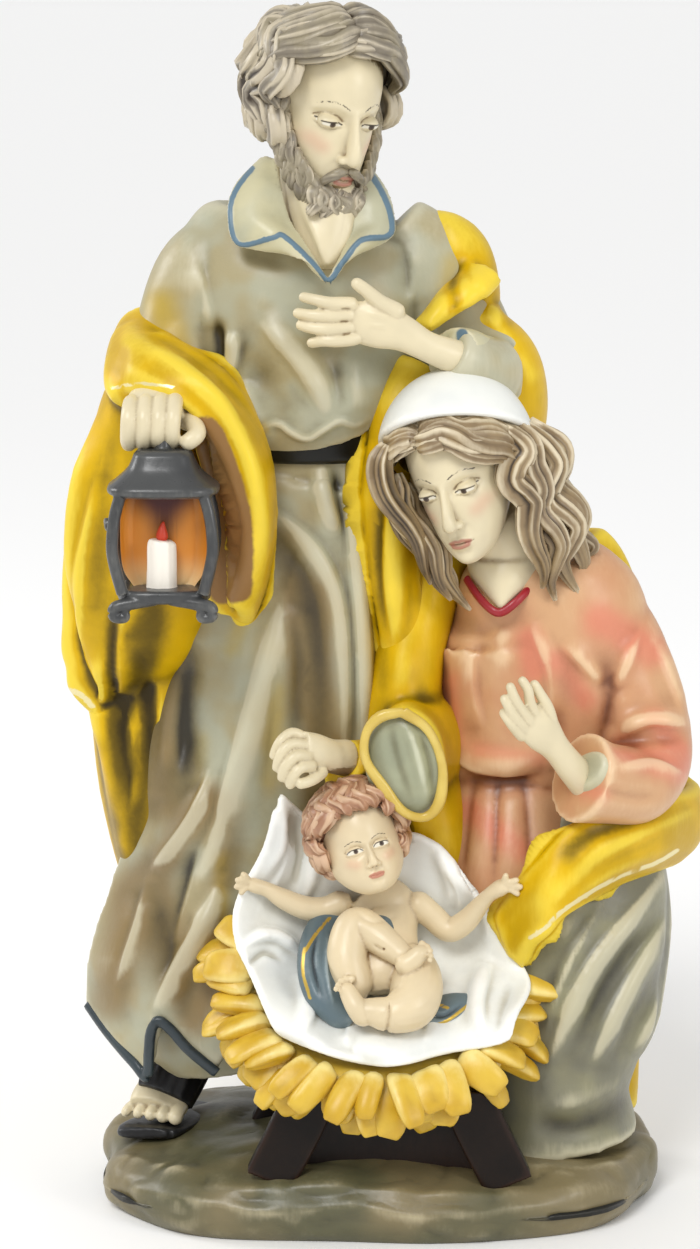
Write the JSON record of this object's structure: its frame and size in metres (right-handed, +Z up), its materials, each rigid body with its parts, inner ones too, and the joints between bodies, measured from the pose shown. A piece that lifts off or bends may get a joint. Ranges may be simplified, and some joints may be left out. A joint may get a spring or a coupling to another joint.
{
  "type": "holy family statue",
  "caption": "Painted resin nativity group: a standing man with a lantern, a kneeling woman and an infant in a straw-filled manger, on a low rocky base.",
  "frame": {"origin": "on the flat underside, below the middle of the group", "axes": "+X to the viewer's right, -Y to the viewer, +Z up"},
  "size_m": [0.1578, 0.1024, 0.3004],
  "materials": {
    "painted_resin": "hand-painted satin resin with dark washes in the folds and pale dry-brushing"
  },
  "bodies": {
    "root": {"holy_family_statue": "painted_resin"}
  },
  "joints": []
}
